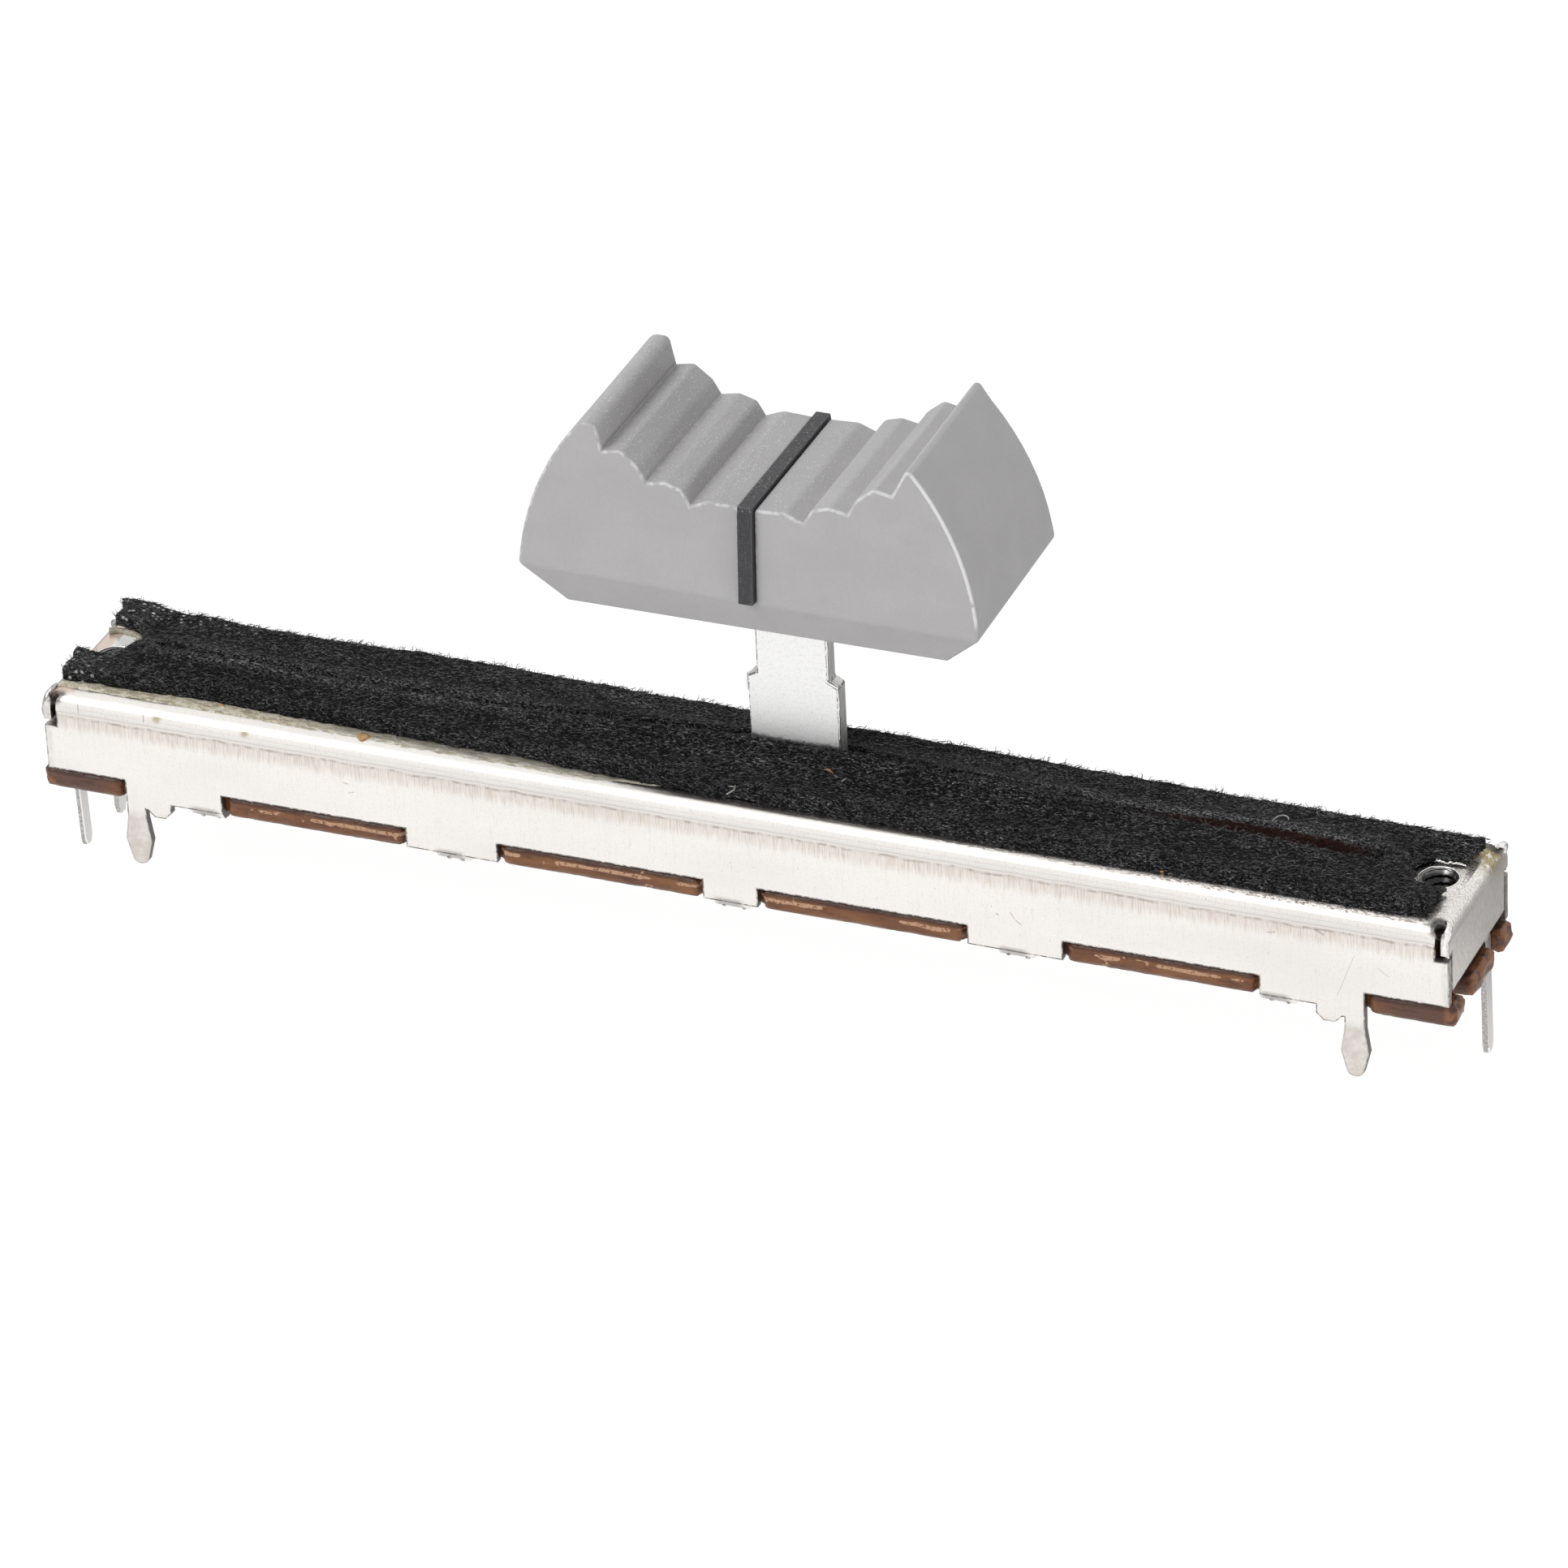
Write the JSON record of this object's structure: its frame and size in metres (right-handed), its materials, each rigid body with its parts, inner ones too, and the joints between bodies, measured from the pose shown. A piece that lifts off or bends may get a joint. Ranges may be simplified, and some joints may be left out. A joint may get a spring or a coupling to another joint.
{
  "type": "slide potentiometer",
  "caption": "Long slide potentiometer: folded tin-plate case with a slit felt cover, steel lever and a serrated fader cap that slides end to end.",
  "frame": {"origin": "Centre of the case's top plate, on its outer face, midway between the two panel holes", "axes": "+X along the slider's travel, towards the end with one solder pin; +Y across the case; +Z out of the panel along the lever, towards the cap"},
  "size_m": [0.0752, 0.0112, 0.0314],
  "materials": {
    "tinplate": "bright tin-plated sheet, fine striations on the walls",
    "felt": "black felt, lengthwise fibres with pale lint",
    "adhesive": "dull khaki glue film",
    "phenolic": "punched reddish-brown phenolic laminate",
    "carbon_ink": "smooth printed carbon",
    "silver_ink": "printed silver",
    "pin_metal": "matte tin plating",
    "rivet_metal": "tin plating",
    "lever_steel": "satin, sparkling sheared steel",
    "carriage_plastic": "black moulding",
    "spring_bronze": "bright spring strip",
    "cap_grey": "light grey, finely sparked texture on the serrations",
    "line_black": "matte charcoal"
  },
  "bodies": {
    "housing": {"case": "tinplate", "felt_cover": "felt", "adhesive_front": "adhesive", "adhesive_back": "adhesive", "circuit_board": "phenolic", "resistive_track": "carbon_ink", "collector_track": "carbon_ink", "track_pad_left": "silver_ink", "track_pad_right": "silver_ink", "terminal_left_front": "pin_metal", "terminal_left_back": "pin_metal", "terminal_right_back": "pin_metal", "rivet_left_front": "rivet_metal", "rivet_left_back": "rivet_metal", "rivet_right_back": "rivet_metal"},
    "slider": {"lever": "lever_steel", "slider_carriage": "carriage_plastic", "wiper_contact": "spring_bronze", "indicator_insert": "line_black", "knob": "cap_grey"}
  },
  "joints": [
    {"name": "fader_travel", "type": "slide", "parent": "housing", "child": "slider", "axis": [1, 0, 0], "range_m": [-0.0321, 0.0279]}
  ]
}
